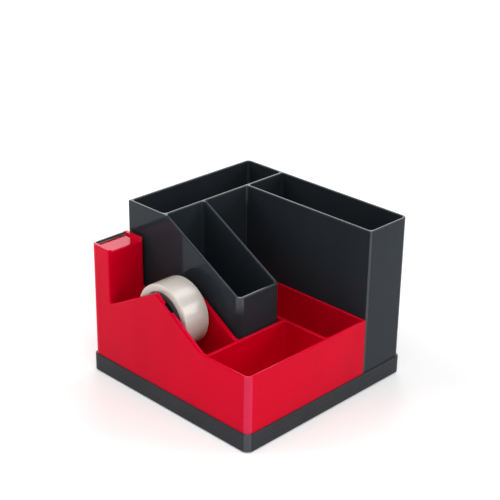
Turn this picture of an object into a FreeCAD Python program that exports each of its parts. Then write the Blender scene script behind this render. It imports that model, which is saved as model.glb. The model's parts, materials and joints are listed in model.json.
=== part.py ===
import FreeCAD, Part
import math
import os

os.makedirs("parts", exist_ok=True)

V = FreeCAD.Vector

# A desk organiser on a square base: a dark moulding with two tall bins and a sloped box,
# and a bright moulding with a tape dispenser, a clip tray and a rear compartment.
# Millimetres. X to the right, Y to the back, Z up, origin under the middle of the base.

# ---- base -------------------------------------------------------------------------------
base_side = 128.0
base_rise = 10.3
base_corner = 4.5
base_skirt = 2.4
base_deck = 2.2
base_edge_r = 0.6
rib_thick = 1.6
rib_short = 1.6
foot_r = 6.0
foot_show = 0.8
foot_inset = 9.5
foot_edge = 0.5
seat_gap = 0.1
seat_ring = 1.5

# ---- both mouldings ---------------------------------------------------------------------
ledge = 1.1
lean_in = 0.1
body_corner = 3.5
floor_thick = 2.2
module_gap = 0.3

# ---- dark moulding ----------------------------------------------------------------------
bin_height = 87.9
bin_wall = 1.8
bin_taper = 0.5
bin_inner_r = 2.0
bin_floor_r = 1.5
bin_front_r = 0.5
bin_end_r = 1.0
bin_rim_r = 0.6
left_bin_wide = 30.7
rear_bin_deep = 32.1
front_strip = 28.2
box_wide = 31.5
box_long = 60.2
box_corner = 3.4
box_end_rise = 57.2
box_slope_end = 3.0
box_shoulder = 1.85
box_shoulder_r = 6.0
box_heel_r = 4.0

# ---- bright moulding --------------------------------------------------------------------
tray_rise = 34.3
tray_wall = 1.5
tray_web = 2.0
channel_wall = 2.5
tray_taper = 0.3
tray_inner_r = 1.8
tray_floor_r = 1.6
tray_rim_r = 0.4
channel_gap = 1.7
cross_gap = 1.5
channel_floor_r = 5.0
tower_wide = 15.4
tower_rise = 69.7
front_rim_r = 0.8
tower_back_r = 2.6
ledge_drop = 1.3
ledge_nose_r = 1.0
valley_rise = 36.4
valley_r = 1.2
peak_run = 38.9
peak_rise = 57.4
peak_r = 2.2
back_peak_drop = 1.3
slope_foot = 4.3
slope_foot_r = 2.0

# ---- cutter -----------------------------------------------------------------------------
blade_thick = 0.5
blade_play = 0.05
blade_sunk = 6.0
blade_set_in = 1.1
blade_short = 0.15
blade_rise = 0.6
blade_flange = 1.3
blade_lift = 0.05
teeth = 18
tooth_deep = 0.9

# ---- tape, hub and axle -----------------------------------------------------------------
axle_drop = 16.9
axle_r = 4.0
axle_flat = 3.4
axle_end_play = 0.15
slot_play = 0.1
slot_deep = 1.8
slot_lean = 40.0
bearing_play = 0.05
hub_tube = 2.4
hub_side_play = 0.8
hub_r = 13.0
hub_drum = 1.8
hub_web = 2.0
hub_spokes = 6
spoke_thick = 1.4
spoke_inset = 2.5
hub_flange = 1.3
hub_flange_thick = 1.0
core_play = 0.02
core_thick = 2.05
tape_r = 19.7
tape_wide = 17.0
core_proud = 0.3

# ---- screws -----------------------------------------------------------------------------
screw_r = 1.47
screw_washer_r = 4.8
screw_washer = 0.8
screw_room = 0.4
screw_head_r = 2.9
screw_head_tall = 1.1
screw_chamfer = 0.4
recess_long = 3.2
recess_wide = 0.8
recess_deep = 0.9
pilot_play = 0.03
boss_r = 3.6
boss_play = 0.15
boss_lift = 0.1
boss_pad = 2.6
boss_skin = 0.8
screw_end_play = 0.3
box_screw_off = 10.0
rear_screw_off = 25.0
corner_screw_off = 8.0
channel_screw_off = 12.0
nook_screw_off = 16.0

# ---- derived places ---------------------------------------------------------------------
half = base_side / 2.0
edge = half - ledge
skirt_z = foot_show
seam_z = foot_show + base_rise
deck_z = seam_z - base_deck
bin_top = seam_z + bin_height
tray_top = seam_z + tray_rise
tower_top = seam_z + tower_rise
floor_z = seam_z + floor_thick
boss_low = deck_z + boss_lift
boss_top = floor_z + boss_pad
far = 2.0 * base_side

bin_right = -edge + left_bin_wide
bin_inner = bin_right - bin_wall
bin_front = -edge + front_strip
rear_front = edge - rear_bin_deep
box_back = bin_front + box_wide
box_end = bin_right + box_long
box_end_top = seam_z + box_end_rise

channel_back = bin_front - channel_gap
channel_y0 = -edge + channel_wall
channel_y1 = channel_back - channel_wall
channel_mid = (channel_y0 + channel_y1) / 2.0
cross_left = box_end + cross_gap
cross_right = cross_left + tray_web
divider_front = box_back + module_gap
divider_back = divider_front + tray_web
tray_back = rear_front - module_gap
nook_left = bin_right + module_gap
tower_right = -edge + tower_wide
peak_x = tower_right + peak_run
peak_z = seam_z + peak_rise
valley_z = seam_z + valley_rise
foot_x = cross_right - slope_foot
ledge_z = tower_top - ledge_drop
axle_x = peak_x
axle_z = peak_z - axle_drop
blade_x = -edge + blade_set_in
slot_y0 = channel_y0 - slot_deep
slot_y1 = channel_y1 + slot_deep

foot_at = half - foot_inset
foot_places = {
    "foot_front_left": V(-foot_at, -foot_at, 0),
    "foot_front_right": V(foot_at, -foot_at, 0),
    "foot_back_left": V(-foot_at, foot_at, 0),
    "foot_back_right": V(foot_at, foot_at, 0),
}

left_mid = (-edge + bin_right) / 2.0
rear_mid = (rear_front + edge) / 2.0
nook_mid = (divider_front + tray_back) / 2.0
tray_mid = (cross_right + edge) / 2.0
box_mid_x = (bin_right + box_end) / 2.0
box_mid_y = (bin_front + box_back) / 2.0
bin_screws = {
    "screw_bin_1": V(left_mid, box_mid_y, 0),
    "screw_bin_2": V(left_mid, rear_front + corner_screw_off, 0),
    "screw_bin_3": V(edge - rear_screw_off, rear_mid, 0),
    "screw_bin_4": V(box_mid_x + box_screw_off, box_mid_y, 0),
}
tray_screws = {
    "screw_tray_1": V(tray_mid, channel_back, 0),
    "screw_tray_2": V(tray_mid, nook_mid, 0),
    "screw_tray_3": V(axle_x - channel_screw_off, channel_mid, 0),
    "screw_tray_4": V(nook_left + nook_screw_off, nook_mid, 0),
}


# ---- helpers ----------------------------------------------------------------------------
def box(x0, x1, y0, y1, z0, z1):
    return Part.makeBox(x1 - x0, y1 - y0, z1 - z0, V(x0, y0, z0))


def rod(radius, z0, z1, at):
    return Part.makeCylinder(radius, z1 - z0, V(at.x, at.y, z0))


def tapered_box(x0, x1, y0, y1, z0, z1, spread):
    """A box whose sides lean out by spread at the top, or in where spread is negative."""
    low = [V(x0, y0, z0), V(x1, y0, z0), V(x1, y1, z0), V(x0, y1, z0)]
    high = [
        V(x0 - spread, y0 - spread, z1),
        V(x1 + spread, y0 - spread, z1),
        V(x1 + spread, y1 + spread, z1),
        V(x0 - spread, y1 + spread, z1),
    ]
    faces = [Part.Face(Part.makePolygon(low[::-1] + low[-1:]))]
    faces.append(Part.Face(Part.makePolygon(high + high[:1])))
    for i in range(4):
        j = (i + 1) % 4
        ring = [low[i], low[j], high[j], high[i], low[i]]
        faces.append(Part.Face(Part.makePolygon(ring)))
    return Part.Solid(Part.Shell(faces))


def upright(edge_):
    a = edge_.Vertexes[0].Point
    b = edge_.Vertexes[-1].Point
    return abs(a.z - b.z) > 0.9 * edge_.Length


def flat_at(edge_, z):
    return all(abs(v.Z - z) < 0.001 for v in edge_.Vertexes)


def middle(edge_):
    return edge_.valueAt((edge_.FirstParameter + edge_.LastParameter) / 2.0)


def crisp(shape, edge_):
    """True where the two faces at an edge meet at a clear angle."""
    at = middle(edge_)
    normals = []
    for face in shape.ancestorsOfType(edge_, Part.Face):
        u, v = face.Surface.parameter(at)
        normals.append(face.normalAt(u, v))
    if len(normals) != 2:
        return False
    return normals[0].getAngle(normals[1]) > math.radians(20.0)


def pocket(x0, x1, y0, y1, z0, z1, spread, corner, floor_r):
    """The space inside a moulded bin: tapered, with rounded corners and floor."""
    block = tapered_box(x0, x1, y0, y1, z0, z1, spread)
    block = block.makeFillet(corner, [e for e in block.Edges if upright(e)])
    return block.makeFillet(floor_r, [e for e in block.Edges if flat_at(e, z0)])


def rounded_path(points):
    """A closed XZ outline through (x, z, radius) points, each corner rounded by its radius."""
    count = len(points)
    pieces = []
    starts = []
    ends = []
    for i in range(count):
        x, z, radius = points[i]
        here = V(x, 0, z)
        back = V(points[i - 1][0], 0, points[i - 1][1]) - here
        ahead = V(points[(i + 1) % count][0], 0, points[(i + 1) % count][1]) - here
        back.normalize()
        ahead.normalize()
        if radius == 0:
            starts.append(here)
            ends.append(here)
            pieces.append(None)
            continue
        half_angle = back.getAngle(ahead) / 2.0
        reach = radius / math.tan(half_angle)
        bisector = back + ahead
        bisector.normalize()
        centre = here + bisector * (radius / math.sin(half_angle))
        starts.append(here + back * reach)
        ends.append(here + ahead * reach)
        pieces.append(Part.Arc(starts[i], centre - bisector * radius, ends[i]).toShape())
    edges = []
    for i in range(count):
        if pieces[i] is not None:
            edges.append(pieces[i])
        edges.append(Part.makeLine(ends[i], starts[(i + 1) % count]))
    return Part.Wire(edges)


def prism(points, y0, y1):
    wire = rounded_path(points)
    wire.translate(V(0, y0, 0))
    return Part.Face(wire).extrude(V(0, y1 - y0, 0))


def on_outline(edge_, outline):
    at = middle(edge_)
    return outline.distToShape(Part.Vertex(at.x, 0, at.z))[0] < 0.01


def envelope():
    """The outside of both mouldings together, with draft and rounded corners."""
    block = tapered_box(-edge, edge, -edge, edge, seam_z, bin_top, -lean_in)
    return block.makeFillet(body_corner, [e for e in block.Edges if upright(e)])


def add_bosses(shape, places):
    """Bosses through a floor: below, each fits the base's hole; above, it is a low pad."""
    bosses = [rod(boss_r, boss_low, boss_top, at) for at in places.values()]
    pilot_top = boss_top - boss_skin
    pilots = [rod(screw_r + pilot_play, seam_z - far, pilot_top, at) for at in places.values()]
    return shape.multiFuse(bosses).cut(Part.makeCompound(pilots))


# ---- base -------------------------------------------------------------------------------
def base_plate():
    block = box(-half, half, -half, half, skirt_z, seam_z)
    block = block.makeFillet(base_corner, [e for e in block.Edges if upright(e)])
    block = block.makeFillet(base_edge_r, [e for e in block.Edges if flat_at(e, seam_z)])
    inner = half - base_skirt
    hollow = box(-inner, inner, -inner, inner, skirt_z - 1.0, deck_z)
    corner = base_corner - base_skirt
    hollow = hollow.makeFillet(corner, [e for e in hollow.Edges if upright(e)])
    block = block.cut(hollow)

    low = skirt_z + rib_short
    t = rib_thick / 2.0
    sink = base_skirt / 2.0
    ribs = [box(-inner - sink, inner + sink, -t, t, low, deck_z + sink)]
    ribs.append(box(-t, t, -inner - sink, inner + sink, low, deck_z + sink))
    socket_r = foot_r + seat_gap
    for at in foot_places.values():
        ribs.append(rod(socket_r + seat_ring, skirt_z, deck_z + sink, at))
    block = block.multiFuse(ribs)

    cuts = [rod(socket_r, skirt_z - 1.0, deck_z, at) for at in foot_places.values()]
    for at in list(bin_screws.values()) + list(tray_screws.values()):
        cuts.append(rod(boss_r + boss_play, skirt_z, seam_z + 1.0, at))
        cuts.append(rod(screw_washer_r + screw_room, skirt_z, deck_z, at))
    return block.cut(Part.makeCompound(cuts)).removeSplitter()


def foot(at):
    """A rubber plug that fills its socket up to the deck and stands out below."""
    plug = rod(foot_r, 0.0, deck_z, at)
    return plug.makeChamfer(foot_edge, [e for e in plug.Edges if flat_at(e, 0.0)])


def screw(at):
    """A self-tapping screw with a washer head, head down under the deck."""
    washer_z = deck_z - screw_washer
    head_z = washer_z - screw_head_tall
    head = rod(screw_head_r, head_z, washer_z, at)
    head = head.makeChamfer(screw_chamfer, [e for e in head.Edges if flat_at(e, head_z)])
    washer = rod(screw_washer_r, washer_z, deck_z, at)
    tip_z = boss_top - boss_skin - screw_end_play
    cone_z = tip_z - screw_r
    shank = rod(screw_r, deck_z, cone_z, at)
    cone = Part.makeCone(screw_r, screw_r / 3.0, screw_r, V(at.x, at.y, cone_z))
    body = head.multiFuse([washer, shank, cone])
    a = recess_long / 2.0
    b = recess_wide / 2.0
    z0 = head_z - 1.0
    z1 = head_z + recess_deep
    cross = box(at.x - a, at.x + a, at.y - b, at.y + b, z0, z1)
    cross = cross.fuse(box(at.x - b, at.x + b, at.y - a, at.y + a, z0, z1))
    return body.cut(cross).removeSplitter()


# ---- dark moulding ----------------------------------------------------------------------
def box_top_outline():
    """Everything above the sloped box: rim height, shoulder, slope and level end."""
    shoulder_x = bin_right + box_shoulder
    heel_x = box_end - box_slope_end
    sky = bin_top + box_long
    return [
        (bin_inner, bin_top, 0),
        (shoulder_x, bin_top, box_shoulder_r),
        (heel_x, box_end_top, box_heel_r),
        (far, box_end_top, 0),
        (far, sky, 0),
        (bin_inner, sky, 0),
    ]


def bin_module():
    left = box(-far, bin_right, bin_front, far, seam_z, bin_top)
    rear = box(-far, far, rear_front, far, seam_z, bin_top)
    front_box = box(bin_inner, box_end, bin_front, box_back, seam_z, bin_top)
    corner = [e for e in front_box.Edges if upright(e) and middle(e).x > bin_right]
    front_box = front_box.makeFillet(box_corner, corner)
    above = prism(box_top_outline(), bin_front - 1.0, box_back + 1.0)
    front_box = front_box.cut(above)
    shell = left.multiFuse([rear, front_box]).common(envelope()).removeSplitter()

    def front_left(e):
        m = middle(e)
        return upright(e) and m.x < -edge + 1.0 and abs(m.y - bin_front) < 0.01

    def front_right(e):
        m = middle(e)
        return upright(e) and m.x > edge - 1.0 and abs(m.y - rear_front) < 0.01

    shell = shell.makeFillet(bin_front_r, [e for e in shell.Edges if front_left(e)])
    shell = shell.makeFillet(bin_end_r, [e for e in shell.Edges if front_right(e)])

    t = bin_taper
    wall = bin_wall
    inner = edge - wall - t
    sky = bin_top + 0.001
    left_space = pocket(
        -inner, bin_inner - t, bin_front + wall + t, inner,
        floor_z, sky, t, bin_inner_r, bin_floor_r,
    )
    rear_space = pocket(
        bin_right + t, inner, rear_front + wall + t, inner,
        floor_z, sky, t, bin_inner_r, bin_floor_r,
    )
    box_space = pocket(
        bin_right + t, box_end - wall - t, bin_front + wall + t, box_back - wall - t,
        floor_z, sky, t, bin_inner_r, bin_floor_r,
    )
    shell = shell.cut(Part.makeCompound([left_space, rear_space, box_space]))

    outline = rounded_path(box_top_outline())

    def rim(e):
        if flat_at(e, bin_top):
            return True
        return middle(e).x < box_end + 0.1 and on_outline(e, outline)

    rims = [e for e in shell.Edges if rim(e) and crisp(shell, e)]
    shell = shell.makeFillet(bin_rim_r, rims)
    return add_bosses(shell, bin_screws)


# ---- bright moulding --------------------------------------------------------------------
def dispenser_outline():
    """The dispenser from the front: tower, valley, peak, slope and level tray rim."""
    return [
        (-far, seam_z, 0),
        (cross_right, seam_z, 0),
        (cross_right, tray_top, 0),
        (foot_x, tray_top, slope_foot_r),
        (peak_x, peak_z, peak_r),
        (tower_right, valley_z, valley_r),
        (tower_right, tower_top, 0),
        (-far, tower_top, 0),
    ]


def back_wall():
    """The channel's back wall: a slightly lower peak, and its left end inside the tower."""
    outline = dispenser_outline()
    root = tower_right - channel_wall
    root_top = valley_z + 2.0 * valley_r
    outline[0] = (root, seam_z, 0)
    outline[4] = (peak_x, peak_z - back_peak_drop, peak_r)
    outline[-2:] = [(tower_right, root_top, 0), (root, root_top, 0)]
    wall = prism(outline, channel_y1, channel_back)

    def rim(e):
        m = middle(e)
        at_side = abs(m.y - channel_y1) < 0.01 or abs(m.y - channel_back) < 0.01
        return at_side and m.z > tray_top - 0.01 and tower_right < m.x < cross_right

    return wall.makeFillet(tray_rim_r, [e for e in wall.Edges if rim(e)])


def channel_floor():
    """The floor under the channel, which curves up at both ends."""
    block = box(-far, cross_right, -far, channel_back, seam_z, floor_z + channel_floor_r)
    space = box(tower_right, cross_left, channel_y0, channel_y1, floor_z, tray_top)

    def end(e):
        return flat_at(e, floor_z) and abs(middle(e).y - channel_mid) < 1.0

    return block.cut(space.makeFillet(channel_floor_r, [e for e in space.Edges if end(e)]))


def tower():
    """The tower behind the front wall, with its back right edge rounded above the valley."""
    front = channel_y0 - 1.5 * tray_rim_r
    block = box(-far, tower_right, front, channel_back, seam_z, tower_top)
    x = tower_right - tower_back_r
    y = channel_back - tower_back_r
    z = valley_z + tower_back_r
    corner = box(x, tower_right + 1.0, y, channel_back + 1.0, z, bin_top)
    return block.cut(corner.cut(rod(tower_back_r, z - 1.0, bin_top + 1.0, V(x, y, 0))))


def axle_slot():
    """A slot across the channel, closed at both ends inside the two side walls."""
    w = axle_flat + slot_play
    low = axle_r + slot_play / 2.0
    tall = 3.0 * axle_drop
    block = Part.makeBox(2.0 * w, slot_y1 - slot_y0, tall + low, V(-w, slot_y0, -low))
    block.rotate(V(0, 0, 0), V(0, 1, 0), slot_lean)
    block.translate(V(axle_x, 0, axle_z))
    return block


def tray_outside():
    """The front wall with the blocks of the tray and the rear compartment, rims rounded."""
    front = prism(dispenser_outline(), -far, channel_y0)
    tray = box(cross_left, far, -far, tray_back, seam_z, tray_top)
    nook = box(nook_left, far, divider_front, tray_back, seam_z, tray_top)
    shell = front.multiFuse([tray, nook]).common(envelope()).removeSplitter()

    def tower_front(e):
        m = middle(e)
        on_face = abs(m.x - tower_right) < 0.01 and m.y < channel_y0 - 0.1
        return upright(e) and on_face and m.z > valley_z

    # This rounding runs on from the tower along the whole outer rim.
    shell = shell.makeFillet(front_rim_r, [e for e in shell.Edges if tower_front(e)])

    def rim(e):
        m = middle(e)
        on_wall = abs(m.y - channel_y0) < 0.01 and tower_right < m.x < cross_left
        return crisp(shell, e) and m.z > tray_top - 0.01 and (on_wall or flat_at(e, tray_top))

    return shell.makeFillet(tray_rim_r, [e for e in shell.Edges if rim(e)])


def tray_module():
    shell = tray_outside().multiFuse([channel_floor(), back_wall(), tower()])
    shell = shell.common(envelope()).removeSplitter()

    t = tray_taper
    w = tray_wall
    sky = tray_top + 0.001
    tray_space = pocket(
        cross_right + t, edge - w - t, -edge + w + t, divider_front - t,
        floor_z, sky, t, tray_inner_r, tray_floor_r,
    )
    nook_space = pocket(
        nook_left + w + t, edge - w - t, divider_back + t, tray_back - w - t,
        floor_z, sky, t, tray_inner_r, tray_floor_r,
    )
    landing = box(-far, tower_right + 1.0, channel_y0, channel_y1, ledge_z, bin_top)
    shell = shell.cut(Part.makeCompound([tray_space, nook_space, landing]))

    def rim(e):
        return (flat_at(e, tray_top) or flat_at(e, tower_top)) and crisp(shell, e)

    shell = shell.makeFillet(tray_rim_r, [e for e in shell.Edges if rim(e)])

    def nose(e):
        return flat_at(e, ledge_z) and abs(middle(e).x - tower_right) < 0.01

    shell = shell.makeFillet(ledge_nose_r, [e for e in shell.Edges if nose(e)])
    core = box(
        -edge + channel_wall, tower_right - channel_wall, channel_y0, channel_y1,
        seam_z - 1.0, ledge_z - floor_thick,
    )
    groove = box(
        blade_x - blade_play, blade_x + blade_thick + blade_play, channel_y0, channel_y1,
        ledge_z - blade_sunk - blade_play, ledge_z + 1.0,
    )
    shell = shell.cut(Part.makeCompound([core, groove]))
    return add_bosses(shell.cut(axle_slot()), tray_screws)


# ---- cutter -----------------------------------------------------------------------------
def cutter_blade():
    """A steel strip with a row of pointed teeth on top and a flange along the landing."""
    y0 = channel_y0 + blade_short
    y1 = channel_y1 - blade_short
    low = ledge_z - blade_sunk
    tip = tower_top + blade_rise
    root = tip - tooth_deep
    pitch = (y1 - y0) / teeth
    points = [V(blade_x, y0, low), V(blade_x, y0, root)]
    for i in range(teeth):
        points.append(V(blade_x, y0 + (i + 0.5) * pitch, tip))
        points.append(V(blade_x, y0 + (i + 1.0) * pitch, root))
    points.append(V(blade_x, y1, low))
    points.append(points[0])
    strip = Part.Face(Part.makePolygon(points)).extrude(V(blade_thick, 0, 0))
    right = blade_x + blade_thick + blade_flange
    seat = ledge_z + blade_lift
    flange = box(blade_x, right, y0, y1, seat, seat + blade_thick)
    return strip.fuse(flange).removeSplitter()


# ---- hub, axle and tape -----------------------------------------------------------------
def ring(outer, inner, y0, y1):
    at = V(axle_x, y0, axle_z)
    tube = Part.makeCylinder(outer, y1 - y0, at, V(0, 1, 0))
    return tube.cut(Part.makeCylinder(inner, y1 - y0 + 2.0, at - V(0, 1, 0), V(0, 1, 0)))


def axle():
    """A round pin, flatted at both ends so that it drops into the slots and can't turn."""
    y0 = slot_y0 + axle_end_play
    y1 = slot_y1 - axle_end_play
    pin = Part.makeCylinder(axle_r, y1 - y0, V(0, y0, 0), V(0, 1, 0))
    reach = 2.0 * axle_r
    inner_y0 = channel_y0 + axle_end_play
    inner_y1 = channel_y1 - axle_end_play
    for low, high in ((y0 - 1.0, inner_y0), (inner_y1, y1 + 1.0)):
        pin = pin.cut(box(axle_flat, reach, low, high, -reach, reach))
        pin = pin.cut(box(-reach, -axle_flat, low, high, -reach, reach))
    pin.rotate(V(0, 0, 0), V(0, 1, 0), slot_lean)
    pin.translate(V(axle_x, 0, axle_z))
    return pin


def hub():
    """A spoked drum that turns on the axle and holds the tape's core on its rim."""
    y0 = channel_y0 + hub_side_play
    y1 = channel_y1 - hub_side_play
    drum_y0 = channel_mid - tape_wide / 2.0 - core_proud - hub_flange_thick
    drum_y1 = channel_mid + tape_wide / 2.0 + core_proud
    bore = axle_r + bearing_play
    tube_r = bore + hub_tube
    tube = ring(tube_r, bore, y0, y1)
    drum = ring(hub_r, hub_r - hub_drum, drum_y0, drum_y1)
    web = ring(hub_r - 0.5, tube_r - 0.5, channel_mid - hub_web / 2.0, channel_mid + hub_web / 2.0)
    flange = ring(
        hub_r + hub_flange, hub_r - hub_drum, drum_y0, drum_y0 + hub_flange_thick
    )
    parts = [drum, web, flange]
    for i in range(hub_spokes):
        spoke = box(
            tube_r - 0.5, hub_r - 0.5, drum_y0 + spoke_inset, drum_y1 - spoke_inset,
            -spoke_thick / 2.0, spoke_thick / 2.0,
        )
        spoke.rotate(V(0, 0, 0), V(0, 1, 0), i * 360.0 / hub_spokes)
        spoke.translate(V(axle_x, 0, axle_z))
        parts.append(spoke)
    return tube.multiFuse(parts).removeSplitter()


def tape_core():
    a = channel_mid - tape_wide / 2.0 - core_proud
    b = channel_mid + tape_wide / 2.0 + core_proud
    inner = hub_r + core_play
    return ring(inner + core_thick, inner, a, b)


def tape_roll():
    a = channel_mid - tape_wide / 2.0
    b = channel_mid + tape_wide / 2.0
    inner = hub_r + core_play + core_thick
    return ring(tape_r, inner, a, b)


# ---- build ------------------------------------------------------------------------------
nodes = {
    "base_plate": base_plate(),
    "bin_module": bin_module(),
    "tray_module": tray_module(),
    "cutter_blade": cutter_blade(),
    "hub_axle": axle(),
    "tape_hub": hub(),
    "tape_core": tape_core(),
    "tape_roll": tape_roll(),
}
for name, place in foot_places.items():
    nodes[name] = foot(place)
for name, place in list(bin_screws.items()) + list(tray_screws.items()):
    nodes[name] = screw(place)

for name, shape in nodes.items():
    shape.exportStep("parts/" + name + ".step")
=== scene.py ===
import json
import math
from collections import namedtuple

import bmesh
import bpy
from bpy.props import (
    FloatProperty,
    FloatVectorProperty,
    IntProperty,
    PointerProperty,
)
from bpy.types import Operator, Panel, PropertyGroup
from mathutils import Matrix, Vector


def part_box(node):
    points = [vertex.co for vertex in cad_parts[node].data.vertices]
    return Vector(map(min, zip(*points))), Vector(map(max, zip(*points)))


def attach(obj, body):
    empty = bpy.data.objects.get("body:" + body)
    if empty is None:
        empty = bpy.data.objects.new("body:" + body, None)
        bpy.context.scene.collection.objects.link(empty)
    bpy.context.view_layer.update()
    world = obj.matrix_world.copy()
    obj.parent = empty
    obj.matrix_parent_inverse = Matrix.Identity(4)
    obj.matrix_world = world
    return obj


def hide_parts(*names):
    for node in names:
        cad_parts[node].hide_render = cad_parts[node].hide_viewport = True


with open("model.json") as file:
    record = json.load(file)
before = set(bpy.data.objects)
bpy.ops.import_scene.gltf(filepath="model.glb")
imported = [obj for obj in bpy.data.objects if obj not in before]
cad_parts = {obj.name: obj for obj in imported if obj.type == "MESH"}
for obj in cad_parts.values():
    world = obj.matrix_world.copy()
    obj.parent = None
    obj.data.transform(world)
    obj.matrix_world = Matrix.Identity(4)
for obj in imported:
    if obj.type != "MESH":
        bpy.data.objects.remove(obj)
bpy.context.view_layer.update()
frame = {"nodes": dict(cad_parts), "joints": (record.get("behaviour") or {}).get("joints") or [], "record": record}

bl_info = {
    "name": "Desk organiser with tape dispenser",
    "version": (1, 0, 0),
    "blender": (4, 5, 0),
    "location": "3D View > Sidebar > Organiser",
    "description": "Dresses a desk organiser: two mouldings on a base, cutter, tape roll and stage",
    "category": "Object",
}

MM = 0.001


# ---- places read from the frame ---------------------------------------------------------
def size_of(node):
    """The sides of a node's box."""
    low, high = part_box(node)
    return high - low


def body_of(node):
    """The body that carries a node."""
    for body, members in frame["record"]["behaviour"]["bodies"].items():
        if node in members:
            return body
    raise RuntimeError(f"no body carries {node}")


def slot_of(node):
    """The finish that a node is made in."""
    for row in frame["record"]["subparts"]:
        if row["node"] == node:
            return row["material_slot"]
    raise RuntimeError(f"no slot for {node}")


def joint(name):
    """The frame's row for a joint."""
    for row in frame["joints"]:
        if row["name"] == name:
            return row
    raise RuntimeError(f"no joint named {name}")


UP = Vector((0.0, 0.0, 1.0))
AXLE = Vector(joint("spool_spin")["pos_m"])
ALONG_AXLE = Vector(joint("spool_spin")["axis"])
FEET = sorted(n for n in frame["nodes"] if n.startswith("foot_"))
SCREWS = sorted(n for n in frame["nodes"] if n.startswith("screw_"))

# The body and the base are square, and their walls stand this far from the middle.
BODY_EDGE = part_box("tray_module")[1].x
BASE_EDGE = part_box("base_plate")[1].x
# A painted highlight on an upright corner reaches this far in from both walls.
CORNER_WIDE = 3.5 * MM
# Walls of the dark moulding at which its painted edge highlights stand.
BIN_RIGHT = -32.2 * MM
REAR_BIN_FRONT = 30.8 * MM
BOX_END = 28.0 * MM
BOX_FRONT = -34.7 * MM

# An upright edge with a painted highlight: where it stands, its rounding, and the heights between which the
# highlight fades in.
HighlightEdge = namedtuple("HighlightEdge", "x y radius low high")
PAINTED_BIN_HIGHLIGHTS = (
    HighlightEdge(BODY_EDGE, REAR_BIN_FRONT, 1.0 * MM, 0.0, 1.0 * MM),
    HighlightEdge(BIN_RIGHT, REAR_BIN_FRONT, 1.1 * MM, 86.0 * MM, 92.0 * MM),
    HighlightEdge(BOX_END, BOX_FRONT, 3.4 * MM, 57.5 * MM, 64.5 * MM),
)

# Points nearer than this are one point, in a new piece and in a copy of a node.
WELD = 0.001 * MM
NODE_WELD = 0.002 * MM

# A mesh's edges stay crisp where the surface turns more than this, and the cutter's sooner.
CRISP_TURN = math.radians(32.0)
CUTTER_TURN = math.radians(10.0)
# The edges that get rounded on a spun ring turn more than this.
RIM_TURN = math.radians(60.0)

# The cutter: its flange's lift off the landing, its flange's rounding, and its teeth's tips.
FLANGE_LIFT = 0.05 * MM
FLANGE_EDGE = 0.12 * MM
TOOTH_TIP = 0.04 * MM
# The core's bore lies this far inside the rim of the hub's flanges.
CORE_SEAT = 1.28 * MM
# The feet: the depth of their grooves, the chamfer at the floor, and the steps round them.
GROOVE_DEEP = 0.5 * MM
FOOT_EDGE = 0.5 * MM
FOOT_STEPS = 48

# Broad lamps: name, setting of the strength, azimuth, elevation and spread in degrees.
SUNS = (
    ("key_lamp", "key_strength", 60.0, 55.0, 40.0),
    ("left_lamp", "left_strength", -57.0, 40.0, 40.0),
    ("back_lamp", "back_strength", -135.5, 26.0, 26.0),
    ("right_lamp", "right_strength", 134.0, 19.0, 24.0),
    ("high_lamp", "high_strength", 175.0, 49.0, 25.0),
)
# Soft spots that shine straight down on the floor: name, setting of the power, and place.
FLOOR_SPOTS = (
    ("front_floor_lamp", "front_strength", (0.24, -0.24, 1.3)),
    ("side_floor_lamp", "side_strength", (-0.32, -0.28, 1.3)),
)
SPOT_SPREAD = math.radians(26.0)
SPOT_RADIUS = 0.1
FLOOR_STEPS = 96
FLOOR_PALE = (0.93, 0.93, 0.93)
FLOOR_PALER = (0.95, 0.95, 0.95)
WHITE = (1.0, 1.0, 1.0, 1.0)
# The camera's sensor in millimetres, which its focal length goes with.
SENSOR = 36.0


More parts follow.
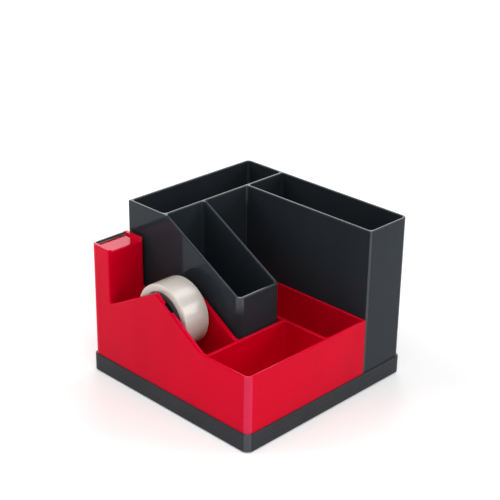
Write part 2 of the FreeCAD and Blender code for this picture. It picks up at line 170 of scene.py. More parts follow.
# ---- sizes and colours that a user may change -------------------------------------------
class OrganiserFinishes(PropertyGroup):
    """Colours and gloss of the finishes."""

    tray_colour: FloatVectorProperty(
        name="Bright moulding", description="Colour of the dispenser and trays",
        subtype="COLOR", size=3, min=0.0, max=1.0, default=(0.695, 0.0, 0.0165),
    )
    # Lighter colour for the bright moulding's edges, partly wear and partly a painted highlight, and for its
    # upright corners, a painted highlight.
    tray_wear_and_highlight: FloatVectorProperty(
        name="Bright edges", description="Colour of the bright moulding's polished edges",
        subtype="COLOR", size=3, min=0.0, max=1.0, default=(0.76, 0.037, 0.09),
    )
    tray_sheen: FloatVectorProperty(
        name="Bright reflections", description="Tint of what the bright moulding reflects",
        subtype="COLOR", size=3, min=0.0, max=1.0, default=(1.0, 0.0, 0.9),
    )
    bin_colour: FloatVectorProperty(
        name="Dark moulding", description="Colour of the bins and the sloped box",
        subtype="COLOR", size=3, min=0.0, max=1.0, default=(0.025, 0.031, 0.037),
    )
    # Lighter colour for the dark moulding's edges, partly wear and partly a painted highlight, and for its upright
    # corners and listed upright edges, a painted highlight.
    bin_wear_and_highlight: FloatVectorProperty(
        name="Dark edges", description="Colour of the dark moulding's polished edges",
        subtype="COLOR", size=3, min=0.0, max=1.0, default=(0.09, 0.1, 0.105),
    )
    bin_sheen: FloatVectorProperty(
        name="Dark reflections", description="Tint of what the dark moulding reflects",
        subtype="COLOR", size=3, min=0.0, max=1.0, default=(0.84, 0.93, 1.0),
    )
    base_colour: FloatVectorProperty(
        name="Base", description="Colour of the base",
        subtype="COLOR", size=3, min=0.0, max=1.0, default=(0.031, 0.033, 0.038),
    )
    film_colour: FloatVectorProperty(
        name="Film", description="Colour of the wound film",
        subtype="COLOR", size=3, min=0.0, max=1.0, default=(0.72, 0.665, 0.605),
    )
    core_colour: FloatVectorProperty(
        name="Core", description="Colour of the ring that the film is wound on",
        subtype="COLOR", size=3, min=0.0, max=1.0, default=(0.05, 0.048, 0.05),
    )
    hub_colour: FloatVectorProperty(
        name="Hub", description="Colour of the hub and its axle",
        subtype="COLOR", size=3, min=0.0, max=1.0, default=(0.03, 0.03, 0.033),
    )
    rubber_colour: FloatVectorProperty(
        name="Feet", description="Colour of the rubber feet",
        subtype="COLOR", size=3, min=0.0, max=1.0, default=(0.02, 0.02, 0.02),
    )
    blade_colour: FloatVectorProperty(
        name="Blade", description="Colour of the cutter's steel",
        subtype="COLOR", size=3, min=0.0, max=1.0, default=(0.13, 0.105, 0.115),
    )
    screw_colour: FloatVectorProperty(
        name="Screws", description="Colour of the zinc plate",
        subtype="COLOR", size=3, min=0.0, max=1.0, default=(0.55, 0.56, 0.58),
    )
    gloss_roughness: FloatProperty(
        name="Moulding roughness", description="Roughness of the two glossy mouldings",
        subtype="FACTOR", min=0.0, max=1.0, default=0.07,
    )
    tray_index: FloatProperty(
        name="Bright index", description="Refractive index of the bright moulding",
        min=1.0, max=2.0, default=1.16,
    )
    bin_index: FloatProperty(
        name="Dark index", description="Refractive index of the dark moulding and the base",
        min=1.0, max=2.0, default=1.2,
    )
    satin_roughness: FloatProperty(
        name="Base roughness", description="Roughness of the satin base",
        subtype="FACTOR", min=0.0, max=1.0, default=0.3,
    )


class OrganiserDetails(PropertyGroup):
    """Sizes of the small features."""

    round_steps: IntProperty(
        name="Roll steps", description="Steps round the tape roll and its core",
        min=24, max=256, default=144,
    )
    film_edge: FloatProperty(
        name="Film edge", description="Rounding of the wound film's edges",
        subtype="DISTANCE", unit="LENGTH", min=0.0, max=0.002, default=0.8 * MM,
    )
    core_edge: FloatProperty(
        name="Core edge", description="Rounding of the core's edges",
        subtype="DISTANCE", unit="LENGTH", min=0.0, max=0.001, default=0.25 * MM,
    )
    teeth: IntProperty(
        name="Teeth", description="Teeth along the cutter",
        min=4, max=60, default=18,
    )
    tooth_depth: FloatProperty(
        name="Tooth depth", description="How deep the cutter's teeth are cut",
        subtype="DISTANCE", unit="LENGTH", min=0.0, max=0.003, default=0.9 * MM,
    )
    blade_thick: FloatProperty(
        name="Blade", description="Thickness of the cutter's steel",
        subtype="DISTANCE", unit="LENGTH", min=0.0, max=0.002, default=0.5 * MM,
    )
    landing_drop: FloatProperty(
        name="Landing", description="How far the landing lies under the tower's rim",
        subtype="DISTANCE", unit="LENGTH", min=0.0, max=0.01, default=1.3 * MM,
    )
    grind_depth: FloatProperty(
        name="Grind", description="Height of the ground face behind the teeth",
        subtype="DISTANCE", unit="LENGTH", min=0.0, max=0.004, default=1.6 * MM,
    )
    groove_count: IntProperty(
        name="Foot grooves", description="Rings moulded in the underside of each foot",
        min=0, max=6, default=2,
    )


class OrganiserStage(PropertyGroup):
    """Camera, lamps and floor."""

    camera_place: FloatVectorProperty(
        name="Camera place", description="Where the camera stands",
        subtype="TRANSLATION", unit="LENGTH", size=3, default=(0.45174, -0.46139, 0.37069),
    )
    camera_azimuth: FloatProperty(
        name="Azimuth", description="Turn of the camera about the vertical",
        subtype="ANGLE", unit="ROTATION", default=math.radians(44.324),
    )
    camera_elevation: FloatProperty(
        name="Elevation", description="How far the camera looks down",
        subtype="ANGLE", unit="ROTATION", default=math.radians(24.428),
    )
    camera_roll: FloatProperty(
        name="Roll", description="Turn of the camera about its own view",
        subtype="ANGLE", unit="ROTATION", default=math.radians(0.892),
    )
    camera_lens: FloatProperty(
        name="Lens", description="Focal length on a 36 mm sensor",
        unit="CAMERA", min=10.0, max=300.0, default=90.42,
    )
    sky_strength: FloatProperty(
        name="Sky", description="Strength of the even light from all round",
        min=0.0, max=4.0, default=0.42,
    )
    key_strength: FloatProperty(
        name="Key lamp", description="Strength of the broad lamp beside the camera",
        min=0.0, max=10.0, default=0.75,
    )
    left_strength: FloatProperty(
        name="Left lamp", description="Strength of the broad lamp on the left",
        min=0.0, max=10.0, default=0.75,
    )
    back_strength: FloatProperty(
        name="Back lamp", description="Strength of the low lamp behind, on the left",
        min=0.0, max=10.0, default=0.65,
    )
    right_strength: FloatProperty(
        name="Right lamp", description="Strength of the low lamp behind, on the right",
        min=0.0, max=10.0, default=0.6,
    )
    high_strength: FloatProperty(
        name="High lamp", description="Strength of the high lamp right behind",
        min=0.0, max=10.0, default=0.4,
    )
    front_strength: FloatProperty(
        name="Front floor lamp", description="Power of the soft spot on the floor in front",
        subtype="POWER", min=0.0, max=500.0, default=40.0,
    )
    side_strength: FloatProperty(
        name="Side floor lamp", description="Power of the soft spot on the floor on the left",
        subtype="POWER", min=0.0, max=500.0, default=60.0,
    )
    floor_glow: FloatProperty(
        name="Floor glow", description="What lifts the floor to white where it is seen",
        min=0.0, max=1.0, default=0.2,
    )
    floor_radius: FloatProperty(
        name="Floor radius", description="Radius of the floor",
        subtype="DISTANCE", unit="LENGTH", min=0.5, max=20.0, default=6.0,
    )


# ---- materials --------------------------------------------------------------------------
class Finish:
    """A node material under construction, on Object coordinates."""

    def __init__(self, name):
        self.material = bpy.data.materials.new(name)
        self.material.use_nodes = True
        self.tree = self.material.node_tree
        self.tree.nodes.clear()
        output = self.tree.nodes.new("ShaderNodeOutputMaterial")
        self.shader = self.tree.nodes.new("ShaderNodeBsdfPrincipled")
        self.link(self.shader.outputs["BSDF"], output.inputs["Surface"])
        self.place = self.tree.nodes.new("ShaderNodeTexCoord").outputs["Object"]

    def link(self, source, target):
        """Joins two sockets."""
        self.tree.links.new(source, target)

    def add(self, kind, settings=None, **values):
        """A node of a kind. Values go to its inputs by name, or i0, i1 and so on by order."""
        node = self.tree.nodes.new(kind)
        for key, value in (settings or {}).items():
            setattr(node, key, value)
        for key, value in values.items():
            by_order = key[0] == "i" and key[1:].isdigit()
            socket = node.inputs[int(key[1:]) if by_order else key.replace("_", " ")]
            if isinstance(value, bpy.types.NodeSocket):
                self.link(value, socket)
            else:
                socket.default_value = value
        return node

    def set(self, **values):
        """Numbers that are the same all over, straight on the shader's sockets."""
        for key, value in values.items():
            self.shader.inputs[key.replace("_", " ")].default_value = value

    def moved(self, centre=(0, 0, 0), turn=(0, 0, 0), scale=(1, 1, 1)):
        """Object coordinates from a centre, turned and stretched."""
        shift = self.add(
            "ShaderNodeVectorMath", {"operation": "SUBTRACT"}, i0=self.place, i1=centre,
        )
        return self.add(
            "ShaderNodeMapping", None,
            Vector=shift.outputs[0], Rotation=turn, Scale=scale,
        ).outputs[0]

    def noise(self, size, detail=3.0, place=None, roughness=0.5):
        """Noise whose blobs are about size metres across, from 0 to 1."""
        return self.add(
            "ShaderNodeTexNoise", None,
            Vector=place or self.place, Scale=1.0 / size, Detail=detail, Roughness=roughness,
        ).outputs["Fac"]

    def ramp(self, value, low, high, to_low=0.0, to_high=1.0):
        """value from low..high to to_low..to_high, clamped."""
        return self.add(
            "ShaderNodeMapRange", {"clamp": True}, Value=value,
            From_Min=low, From_Max=high, To_Min=to_low, To_Max=to_high,
        ).outputs[0]

    def combine(self, a, b, operation="ADD"):
        """Two numbers put together by a Math node's operation."""
        return self.add("ShaderNodeMath", {"operation": operation}, i0=a, i1=b).outputs[0]

    def blend(self, factor, a, b):
        """Colour a where factor is 0 and b where it is 1."""
        node = self.add("ShaderNodeMix", {"data_type": "RGBA"})
        self.link(factor, node.inputs[0])
        for socket, value in ((node.inputs[6], a), (node.inputs[7], b)):
            if isinstance(value, bpy.types.NodeSocket):
                self.link(value, socket)
            else:
                socket.default_value = (*value, 1.0)
        return node.outputs[2]

    def bump(self, height, depth, below=None):
        """Relief of the given depth in metres, over any other relief."""
        node = self.add("ShaderNodeBump", None, Height=height, Distance=depth, Strength=1.0)
        if below is not None:
            self.link(below, node.inputs["Normal"])
        return node.outputs[0]

    def edges(self, radius):
        """1 on edges and 0 on flats, from how the surface turns within a radius."""
        soft = self.add("ShaderNodeBevel", {"samples": 4}, Radius=radius).outputs[0]
        sharp = self.add("ShaderNodeNewGeometry").outputs["Normal"]
        dot = self.add("ShaderNodeVectorMath", {"operation": "DOT_PRODUCT"}, i0=soft, i1=sharp)
        return self.ramp(dot.outputs["Value"], 1.0, 0.75)

    def corners(self, edge, share):
        """A share at the upright corners of a square body whose walls stand at edge, where painted highlights go.
        """
        split = self.add("ShaderNodeSeparateXYZ", None, Vector=self.place).outputs
        out = [
            self.add("ShaderNodeMath", {"operation": "ABSOLUTE"}, i0=split[axis]).outputs[0]
            for axis in "XY"
        ]
        both = self.combine(out[0], out[1], "MINIMUM")
        return self.ramp(both, edge - CORNER_WIDE, edge - 0.8 * CORNER_WIDE, 0.0, share)

    def upright_highlight(self, edge):
        """1 on an upright edge that gets a painted highlight, and 0 away from it."""
        split = self.add("ShaderNodeSeparateXYZ", None, Vector=self.place).outputs
        flat = self.add("ShaderNodeCombineXYZ", None, X=split["X"], Y=split["Y"]).outputs[0]
        away = self.add(
            "ShaderNodeVectorMath", {"operation": "DISTANCE"}, i0=flat, i1=(edge.x, edge.y, 0.0),
        )
        near = self.ramp(away.outputs["Value"], 1.05 * edge.radius, 0.8 * edge.radius)
        return self.combine(near, self.ramp(split["Z"], edge.low, edge.high), "MULTIPLY")

    def colour(self, socket):
        """Gives the surface its colour."""
        self.link(socket, self.shader.inputs["Base Color"])

    def rough(self, socket):
        """Gives the surface its roughness."""
        self.link(socket, self.shader.inputs["Roughness"])

    def normal(self, socket):
        """Gives the surface its relief."""
        self.link(socket, self.shader.inputs["Normal"])


def shade(colour, factor):
    """A colour made darker or lighter by a factor."""
    return tuple(min(1.0, c * factor) for c in colour)


def moulded_plastic(name, colour, roughness, wear_and_highlight, corner_highlight, highlight_edges=()):
    """Glossy moulding: faint flow marks, fine waviness, hairline scratches, and lighter edges that are partly wear
    and partly a painted highlight.

    The corner share is how much of the lighter edge colour the body's upright corners get, as a painted highlight.
    """
    f = Finish(name)
    flow = f.noise(30 * MM, 2.0, f.moved(scale=(1.0, 1.0, 0.45)))
    body = f.blend(f.ramp(flow, 0.35, 0.65), shade(colour, 0.95), shade(colour, 1.05))
    # Edges are painted lighter, partly as wear and partly as a painted highlight; upright corners and listed
    # upright edges get a painted highlight.
    wear_and_highlight_mask = f.combine(f.edges(0.7 * MM), f.corners(BODY_EDGE, corner_highlight))
    for edge in highlight_edges:
        wear_and_highlight_mask = f.combine(wear_and_highlight_mask, f.upright_highlight(edge), "MAXIMUM")
    uneven = f.ramp(f.noise(2.5 * MM), 0.2, 0.5, 0.75, 1.0)
    f.colour(f.blend(f.combine(wear_and_highlight_mask, uneven, "MULTIPLY"), body, wear_and_highlight))
    hairs = f.noise(0.5 * MM, 1.0, f.moved(turn=(0.3, 0.2, 0.6), scale=(0.03, 1.0, 1.0)))
    crossed = f.noise(0.5 * MM, 1.0, f.moved(turn=(-0.5, 0.1, -0.9), scale=(1.0, 0.03, 1.0)))
    scratch = f.combine(f.ramp(hairs, 0.68, 0.74), f.ramp(crossed, 0.68, 0.74), "MAXIMUM")
    haze = f.ramp(f.noise(14 * MM, 4.0), 0.3, 0.7, roughness * 0.8, roughness * 1.25)
    f.rough(f.combine(haze, f.ramp(scratch, 0.0, 1.0, 0.0, 0.07)))
    peel = f.bump(f.noise(2.2 * MM, 2.0), 0.004 * MM)
    f.normal(f.bump(scratch, -0.002 * MM, peel))
    return f


def satin_plastic(name, colour, roughness, grain, wear_and_highlight_factor=1.7):
    """Satin moulding with a fine spark-eroded grain.

    The last argument is how much lighter than its colour the edges and the base's corners are: wear on the small
    parts, and on the base a painted highlight.
    """
    f = Finish(name)
    cloud = f.noise(18 * MM, 3.0)
    body = f.blend(f.ramp(cloud, 0.3, 0.7), shade(colour, 0.9), shade(colour, 1.1))
    # Edges and the base's upright corners are painted lighter: wear on the small parts, a painted highlight on the
    # base's edges and corners.
    wear_and_highlight_mask = f.combine(f.edges(0.4 * MM), f.corners(BASE_EDGE, 1.0), "MAXIMUM")
    f.colour(f.blend(wear_and_highlight_mask, body, shade(colour, wear_and_highlight_factor)))
    fine = f.noise(grain, 3.0)
    f.rough(f.ramp(fine, 0.3, 0.7, roughness - 0.06, roughness + 0.06))
    f.normal(f.bump(fine, 0.012 * MM))
    return f


def wound_film(name, colour):
    """Clear film on a roll: rings on the sides, faint bands and bubbles on the outside."""
    f = Finish(name)
    from_axle = f.moved(centre=AXLE)
    split = f.add("ShaderNodeSeparateXYZ", None, Vector=from_axle).outputs
    across = f.combine(split["X"], split["X"], "MULTIPLY")
    up = f.combine(split["Z"], split["Z"], "MULTIPLY")
    radius = f.add("ShaderNodeMath", {"operation": "SQRT"}, i0=f.combine(across, up)).outputs[0]
    rings = f.add("ShaderNodeCombineXYZ", None, X=radius).outputs[0]
    layers = f.noise(0.35 * MM, 2.0, rings, 0.7)
    bands = f.noise(1.6 * MM, 3.0, f.add("ShaderNodeCombineXYZ", None, Y=split["Y"]).outputs[0])
    clouds = f.noise(6 * MM, 3.0)
    tone = f.combine(f.combine(layers, bands, "MULTIPLY"), f.ramp(clouds, 0.3, 0.7, 0.0, 0.12))
    body = f.blend(f.ramp(tone, 0.15, 0.65), shade(colour, 0.95), shade(colour, 1.04))
    # The film's edges are painted lighter, a painted highlight along its rims.
    f.colour(f.blend(f.edges(0.35 * MM), body, shade(colour, 1.35)))
    f.rough(f.ramp(f.noise(3 * MM, 3.0), 0.3, 0.7, 0.2, 0.25))
    relief = f.bump(layers, 0.03 * MM)
    f.normal(f.bump(bands, 0.006 * MM, relief))
    f.set(
        Subsurface_Weight=0.35, Subsurface_Scale=0.004, Coat_Weight=0.5, Coat_Roughness=0.14,
        IOR=1.47, Subsurface_Radius=(1.0, 0.8, 0.7),
    )
    return f


def ground_steel(name, colour, roughness, along):
    """Steel with grinding lines, stretched along an axis where its scale is small."""
    f = Finish(name)
    lines = f.noise(0.25 * MM, 3.0, f.moved(scale=along), 0.6)
    f.colour(f.blend(f.ramp(lines, 0.3, 0.7), shade(colour, 0.8), shade(colour, 1.15)))
    f.rough(f.ramp(lines, 0.3, 0.7, roughness - 0.07, roughness + 0.09))
    f.normal(f.bump(lines, 0.004 * MM))
    f.set(Metallic=1.0)
    return f


def moulded_rubber(name, colour):
    """Dull rubber with dust on it."""
    f = Finish(name)
    dust = f.noise(4 * MM, 4.0)
    f.colour(f.blend(f.ramp(dust, 0.45, 0.75), colour, shade(colour, 2.2)))
    fine = f.noise(0.3 * MM, 2.0)
    f.rough(f.ramp(fine, 0.3, 0.7, 0.68, 0.86))
    f.normal(f.bump(fine, 0.02 * MM))
    return f


def make_finishes(scene):
    """Every finish of the organiser, by the record's slot names."""
    look = scene.organiser_finishes
    gloss = look.gloss_roughness
    # The bright moulding's upright corners get a painted highlight at full share.
    tray = moulded_plastic("bright_moulding", look.tray_colour, gloss, look.tray_wear_and_highlight, 1.0)
    tray.set(Specular_Tint=(*look.tray_sheen, 1.0), IOR=look.tray_index)
    # The dark moulding gets painted highlights on its upright corners and its listed upright edges.
    bins = moulded_plastic(
        "dark_moulding", look.bin_colour, gloss, look.bin_wear_and_highlight, 0.25, PAINTED_BIN_HIGHLIGHTS,
    )
    bins.set(Specular_Tint=(*look.bin_sheen, 1.0), IOR=look.bin_index)
    # The base's edges and upright corners get its colour times 2.6, a painted highlight.
    base = satin_plastic("base_satin", look.base_colour, look.satin_roughness, 0.35 * MM, 2.6)
    base.set(Specular_Tint=(*look.bin_sheen, 1.0), IOR=look.bin_index)
    hub = satin_plastic("hub_satin", look.hub_colour, 0.4, 0.3 * MM)
    axle = satin_plastic("axle_satin", shade(look.hub_colour, 1.4), 0.35, 0.3 * MM)
    core = satin_plastic("core_satin", look.core_colour, 0.5, 0.5 * MM)
    film = wound_film("wound_film", look.film_colour)
    blade = ground_steel("blade_steel", look.blade_colour, 0.3, (1.0, 1.0, 0.05))
    zinc = ground_steel("screw_zinc", look.screw_colour, 0.34, (1.0, 1.0, 1.0))
    rubber = moulded_rubber("foot_rubber", look.rubber_colour)
    return {
        "tray_plastic": tray.material,
        "bin_plastic": bins.material,
        "base_plastic": base.material,
        "hub_plastic": hub.material,
        "axle_plastic": axle.material,
        "core_plastic": core.material,
        "tape_film": film.material,
        "blade_steel": blade.material,
        "screw_steel": zinc.material,
        "foot_rubber": rubber.material,
    }


FINISHES = {}


def finish_for(slot):
    """The material of a slot; all of them are made at the first call."""
    if not FINISHES:
        FINISHES.update(make_finishes(bpy.context.scene))
    return FINISHES[slot]


# ---- mesh helpers -----------------------------------------------------------------------
def add_object(name, data):
    """A new object in the scene that shows the data."""
    new = bpy.data.objects.new(name, data)
    bpy.context.scene.collection.objects.link(new)
    return new


def shade_by_angle(bm, limit):
    """Smooth faces, with the edges that turn more than the limit left crisp."""
    for face in bm.faces:
        face.smooth = True
    for edge in bm.edges:
        edge.smooth = edge.is_manifold and edge.calc_face_angle(0.0) < limit


def add_piece(name, bm, nodes, limit=CRISP_TURN):
    """Makes the mesh an object that stands for its nodes and moves with their body."""
    shade_by_angle(bm, limit)
    mesh = bpy.data.meshes.new(name)
    bm.to_mesh(mesh)
    bm.free()
    piece = add_object(name, mesh)
    slot = slot_of(nodes[0])
    mesh.materials.append(finish_for(slot))
    even = piece.modifiers.new("Even normals", "WEIGHTED_NORMAL")
    even.keep_sharp = True
    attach(piece, body_of(nodes[0]))
    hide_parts(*nodes)
    return piece


def welded_copy(node):
    """The node's own shape as one joined surface, with its points welded where they meet."""
    bm = bmesh.new()
    bm.from_mesh(frame["nodes"][node].data)
    bmesh.ops.remove_doubles(bm, verts=bm.verts, dist=NODE_WELD)
    return bm


def lathe(profile, centre, axis, steps):
    """A closed ring or disc spun from (radius, height) points about an axis."""
    bm = bmesh.new()
    side = axis.orthogonal().normalized()
    dots = [bm.verts.new(centre + side * r + axis * h) for r, h in profile]
    edges = [bm.edges.new(pair) for pair in zip(dots, dots[1:])]
    is_ring = profile[0][0] > 0.0 and profile[-1][0] > 0.0
    if is_ring:
        edges.append(bm.edges.new((dots[-1], dots[0])))
    bmesh.ops.spin(
        bm, geom=dots + edges, cent=centre, axis=axis, angle=2.0 * math.pi, steps=steps,
        use_merge=True, use_duplicate=False,
    )
    bmesh.ops.remove_doubles(bm, verts=bm.verts, dist=WELD)
    bmesh.ops.recalc_face_normals(bm, faces=bm.faces)
    return bm


def bevel_edges(bm, edges, offset, segments):
    """Rounds edges by an offset."""
    bmesh.ops.bevel(
        bm, geom=edges, offset=offset, offset_type="OFFSET", affect="EDGES",
        segments=segments, profile=0.5, material=-1, clamp_overlap=True,
    )


def crisp_edges(bm, limit):
    """The edges at which the surface turns more than the limit."""
    return [e for e in bm.edges if e.is_manifold and e.calc_face_angle(0.0) > limit]


def toothed_strip(low, high, thick, teeth, depth):
    """An upright strip whose upper edge is cut to teeth."""
    bm = bmesh.new()
    pitch = (high.y - low.y) / teeth
    root = high.z - depth
    for i in range(teeth):
        y0 = low.y + i * pitch
        outline = (
            (low.x, y0, low.z),
            (low.x, y0 + pitch, low.z),
            (low.x, y0 + pitch, root),
            (low.x, y0 + pitch / 2.0, high.z),
            (low.x, y0, root),
        )
        bm.faces.new([bm.verts.new(at) for at in outline])
    bmesh.ops.remove_doubles(bm, verts=bm.verts, dist=WELD)
    grown = bmesh.ops.extrude_face_region(bm, geom=bm.faces[:])
    far_side = [g for g in grown["geom"] if isinstance(g, bmesh.types.BMVert)]
    bmesh.ops.translate(bm, verts=far_side, vec=(thick, 0.0, 0.0))
    return bm


def grind_teeth(bm, low, high, thick, depth):
    """Thins the strip's teeth towards their tips, from one side."""
    foot = high.z - depth
    bmesh.ops.bisect_plane(
        bm, geom=bm.verts[:] + bm.edges[:] + bm.faces[:], plane_co=(0.0, 0.0, foot), plane_no=UP,
    )
    for vert in bm.verts:
        if vert.co.x > low.x + thick / 2.0 and vert.co.z > foot:
            share = (vert.co.z - foot) / (high.z - foot)
            vert.co.x -= share * (thick - TOOTH_TIP)


def add_flange(bm, low, high, thick, seat):
    """The strip's flange: a thin plate from its foot over the landing, rounded at its rim."""
    plate = bmesh.ops.create_cube(bm, size=1.0)["verts"]
    span = Vector((high.x - low.x - thick, high.y - low.y, thick))
    middle = Vector((
        (low.x + thick + high.x) / 2.0, (low.y + high.y) / 2.0, seat + thick / 2.0,
    ))
    bmesh.ops.scale(bm, verts=plate, vec=span)
    bmesh.ops.translate(bm, verts=plate, vec=middle)
    rim = [e for e in bm.edges if all(v in plate and v.co.x > middle.x for v in e.verts)]
    bevel_edges(bm, rim, FLANGE_EDGE, 2)


# ---- operators --------------------------------------------------------------------------
class ORGANISER_OT_base(Operator):
    """Dress the square base"""

    bl_idname = "organiser.base"
    bl_label = "Base"

    def execute(self, context):
        add_piece("base_with_ledge", welded_copy("base_plate"), ["base_plate"])
        return {"FINISHED"}


class ORGANISER_OT_bins(Operator):
    """Dress the dark moulding with its bins and sloped box"""

    bl_idname = "organiser.bins"
    bl_label = "Dark moulding"

    def execute(self, context):
        add_piece("bins_and_sloped_box", welded_copy("bin_module"), ["bin_module"])
        return {"FINISHED"}


class ORGANISER_OT_tray(Operator):
    """Dress the bright moulding with its dispenser and trays"""

    bl_idname = "organiser.tray"
    bl_label = "Bright moulding"

    def execute(self, context):
        add_piece("dispenser_and_trays", welded_copy("tray_module"), ["tray_module"])
        return {"FINISHED"}


class ORGANISER_OT_cutter(Operator):
    """Make the cutter: a steel strip ground to a row of teeth"""

    bl_idname = "organiser.cutter"
    bl_label = "Cutter"

    def execute(self, context):
        detail = context.scene.organiser_details
        low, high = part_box("cutter_blade")
        thick = detail.blade_thick
        bm = toothed_strip(low, high, thick, detail.teeth, detail.tooth_depth)
        grind_teeth(bm, low, high, thick, detail.grind_depth)
        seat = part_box("tray_module")[1].z - detail.landing_drop + FLANGE_LIFT
        add_flange(bm, low, high, thick, seat)
        bmesh.ops.recalc_face_normals(bm, faces=bm.faces)
        add_piece("toothed_cutter", bm, ["cutter_blade"], CUTTER_TURN)
        return {"FINISHED"}


class ORGANISER_OT_tape(Operator):
    """Make the tape roll and the ring that it is wound on"""

    bl_idname = "organiser.tape"
    bl_label = "Tape roll"

    def execute(self, context):
        detail = context.scene.organiser_details
        core_outer = size_of("tape_core").x / 2.0
        core_inner = size_of("tape_hub").x / 2.0 - CORE_SEAT
        for name, node, inner, outer, soft in (
            ("wound_tape", "tape_roll", core_outer, size_of("tape_roll").x / 2.0,
             detail.film_edge),
            ("tape_ring", "tape_core", core_inner, core_outer, detail.core_edge),
        ):
            low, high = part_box(node)
            y0 = low.y - AXLE.y
            y1 = high.y - AXLE.y
            profile = [(inner, y0), (outer, y0), (outer, y1), (inner, y1)]
            bm = lathe(profile, AXLE, ALONG_AXLE, detail.round_steps)
            bevel_edges(bm, crisp_edges(bm, RIM_TURN), soft, 3)
            add_piece(name, bm, [node])
        return {"FINISHED"}


class ORGANISER_OT_hub(Operator):
    """Dress the spoked hub and its axle"""

    bl_idname = "organiser.hub"
    bl_label = "Hub and axle"

    def execute(self, context):
        add_piece("spoked_hub", welded_copy("tape_hub"), ["tape_hub"])
        add_piece("flatted_axle", welded_copy("hub_axle"), ["hub_axle"])
        return {"FINISHED"}


class ORGANISER_OT_feet(Operator):
    """Make the rubber feet with rings moulded in their undersides"""

    bl_idname = "organiser.feet"
    bl_label = "Feet"

    def execute(self, context):
        detail = context.scene.organiser_details
        for node in FEET:
            low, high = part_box(node)
            radius = (high.x - low.x) / 2.0
            centre = Vector(((low.x + high.x) / 2.0, (low.y + high.y) / 2.0, 0.0))
            profile = [(0.0, low.z)]
            wide = radius / (2.0 * detail.groove_count + 2.0)
            for i in range(detail.groove_count):
                start = (2.0 * i + 1.0) * wide
                roof = low.z + GROOVE_DEEP
                profile += [(start, low.z), (start + 0.2 * wide, roof)]
                profile += [(start + 0.8 * wide, roof), (start + wide, low.z)]
            profile += [(radius - FOOT_EDGE, low.z), (radius, low.z + FOOT_EDGE)]
            profile += [(radius, high.z), (0.0, high.z)]
            bm = lathe(profile, centre, UP, FOOT_STEPS)
            add_piece("rubber_" + node, bm, [node])
        return {"FINISHED"}


class ORGANISER_OT_screws(Operator):
    """Dress the screws under the base"""

    bl_idname = "organiser.screws"
    bl_label = "Screws"

    def execute(self, context):
        for node in SCREWS:
            add_piece("plated_" + node, welded_copy(node), [node])
        return {"FINISHED"}


# ---- the stage --------------------------------------------------------------------------
def add_lamp(name, kind, strength, place, turn):
    """A lamp of a kind at a place, turned by degrees."""
    lamp = bpy.data.lights.new(name, kind)
    lamp.energy = strength
    holder = add_object(name, lamp)
    holder.location = place
    holder.rotation_euler = [math.radians(angle) for angle in turn]
    return lamp


def add_sun(name, strength, azimuth, elevation, spread):
    """A broad lamp so far off that its light is even, from a direction in degrees."""
    lamp = add_lamp(name, "SUN", strength, (0, 0, 1), (90.0 - elevation, 0.0, azimuth))
    lamp.angle = math.radians(spread)


def add_floor_spot(name, power, place):
    """A soft spot that shines straight down."""
    lamp = add_lamp(name, "SPOT", power, place, (0.0, 0.0, 0.0))
    lamp.spot_size = SPOT_SPREAD
    lamp.spot_blend = 1.0
    lamp.shadow_soft_size = SPOT_RADIUS


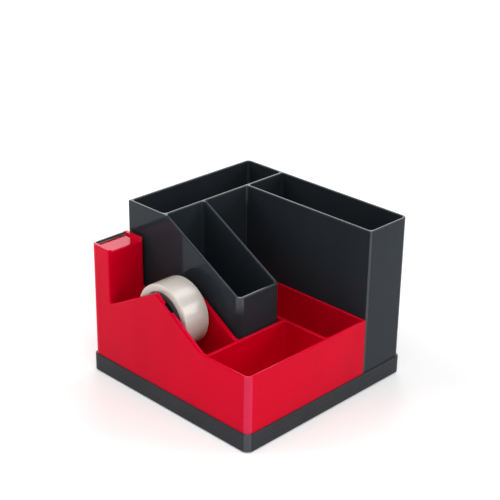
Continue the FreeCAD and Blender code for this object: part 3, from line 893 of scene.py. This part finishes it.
class ORGANISER_OT_stage(Operator):
    """Set the camera, the lamps, the pale floor and the white surroundings"""

    bl_idname = "organiser.stage"
    bl_label = "Stage"

    def execute(self, context):
        stage = context.scene.organiser_stage
        self.add_camera(context, stage)
        self.add_floor(stage)
        self.add_world(context, stage)
        for name, setting, azimuth, elevation, spread in SUNS:
            add_sun(name, getattr(stage, setting), azimuth, elevation, spread)
        for name, setting, place in FLOOR_SPOTS:
            add_floor_spot(name, getattr(stage, setting), place)
        context.scene.view_settings.view_transform = "Standard"
        return {"FINISHED"}

    def add_camera(self, context, stage):
        """The camera, turned about the vertical, tilted and then rolled."""
        camera = bpy.data.cameras.new("organiser_camera")
        camera.lens = stage.camera_lens
        camera.sensor_width = SENSOR
        holder = add_object("organiser_camera", camera)
        turn = Matrix.Rotation(stage.camera_azimuth, 4, "Z")
        tilt = Matrix.Rotation(math.pi / 2.0 - stage.camera_elevation, 4, "X")
        roll = Matrix.Rotation(stage.camera_roll, 4, "Z")
        holder.matrix_world = Matrix.Translation(stage.camera_place) @ turn @ tilt @ roll
        context.scene.camera = holder

    def add_floor(self, stage):
        """A round pale floor, lifted to white for the camera, reflections and glass."""
        bm = bmesh.new()
        bmesh.ops.create_circle(bm, cap_ends=True, segments=FLOOR_STEPS, radius=stage.floor_radius)
        mesh = bpy.data.meshes.new("floor")
        bm.to_mesh(mesh)
        bm.free()
        floor = add_object("floor", mesh)
        pale = Finish("pale_floor")
        tone = pale.noise(0.4, 3.0)
        pale.colour(pale.blend(tone, FLOOR_PALE, FLOOR_PALER))
        pale.rough(pale.ramp(tone, 0.0, 1.0, 0.8, 0.9))
        pale.set(Specular_IOR_Level=0.0, Emission_Color=WHITE)
        path = pale.add("ShaderNodeLightPath").outputs
        seen = pale.combine(path["Is Camera Ray"], path["Is Glossy Ray"], "MAXIMUM")
        seen = pale.combine(seen, path["Is Transmission Ray"], "MAXIMUM")
        glow = pale.ramp(seen, 0.0, 1.0, 0.0, stage.floor_glow)
        pale.link(glow, pale.shader.inputs["Emission Strength"])
        mesh.materials.append(pale.material)

    def add_world(self, context, stage):
        """An even sky, plain white where it is seen directly, in gloss or through glass."""
        world = bpy.data.worlds.new("white_surroundings")
        context.scene.world = world
        world.use_nodes = True
        tree = world.node_tree
        tree.nodes.clear()
        path = tree.nodes.new("ShaderNodeLightPath").outputs
        seen = path["Is Camera Ray"]
        for kind in ("Is Glossy Ray", "Is Transmission Ray"):
            either = tree.nodes.new("ShaderNodeMath")
            either.operation = "MAXIMUM"
            tree.links.new(seen, either.inputs[0])
            tree.links.new(path[kind], either.inputs[1])
            seen = either.outputs[0]
        mix = tree.nodes.new("ShaderNodeMixShader")
        tree.links.new(seen, mix.inputs[0])
        for socket, strength in ((mix.inputs[1], stage.sky_strength), (mix.inputs[2], 1.0)):
            light = tree.nodes.new("ShaderNodeBackground")
            light.inputs["Color"].default_value = WHITE
            light.inputs["Strength"].default_value = strength
            tree.links.new(light.outputs[0], socket)
        output = tree.nodes.new("ShaderNodeOutputWorld")
        tree.links.new(mix.outputs[0], output.inputs["Surface"])


OPERATORS = (
    ORGANISER_OT_stage,
    ORGANISER_OT_base,
    ORGANISER_OT_feet,
    ORGANISER_OT_screws,
    ORGANISER_OT_bins,
    ORGANISER_OT_tray,
    ORGANISER_OT_cutter,
    ORGANISER_OT_hub,
    ORGANISER_OT_tape,
)


class ORGANISER_PT_panel(Panel):
    """Lists the steps that dress the organiser"""

    bl_idname = "ORGANISER_PT_panel"
    bl_label = "Desk organiser"
    bl_space_type = "VIEW_3D"
    bl_region_type = "UI"
    bl_category = "Organiser"

    def draw(self, context):
        for operator in OPERATORS:
            self.layout.operator(operator.bl_idname)
        for group in ("organiser_finishes", "organiser_details", "organiser_stage"):
            settings = getattr(context.scene, group)
            box = self.layout.box()
            for key in settings.bl_rna.properties.keys():
                if key not in ("rna_type", "name"):
                    box.prop(settings, key)


CLASSES = (OrganiserFinishes, OrganiserDetails, OrganiserStage, *OPERATORS, ORGANISER_PT_panel)


def register():
    """Adds the classes and puts their settings on the scene."""
    for cls in CLASSES:
        bpy.utils.register_class(cls)
    bpy.types.Scene.organiser_finishes = PointerProperty(type=OrganiserFinishes)
    bpy.types.Scene.organiser_details = PointerProperty(type=OrganiserDetails)
    bpy.types.Scene.organiser_stage = PointerProperty(type=OrganiserStage)


def unregister():
    """Takes away what register() adds."""
    del bpy.types.Scene.organiser_stage
    del bpy.types.Scene.organiser_details
    del bpy.types.Scene.organiser_finishes
    for cls in reversed(CLASSES):
        bpy.utils.unregister_class(cls)


def main():
    """Dresses the organiser."""
    register()
    for operator in OPERATORS:
        group, step = operator.bl_idname.split(".")
        getattr(getattr(bpy.ops, group), step)()


if __name__ == "__main__":
    main()
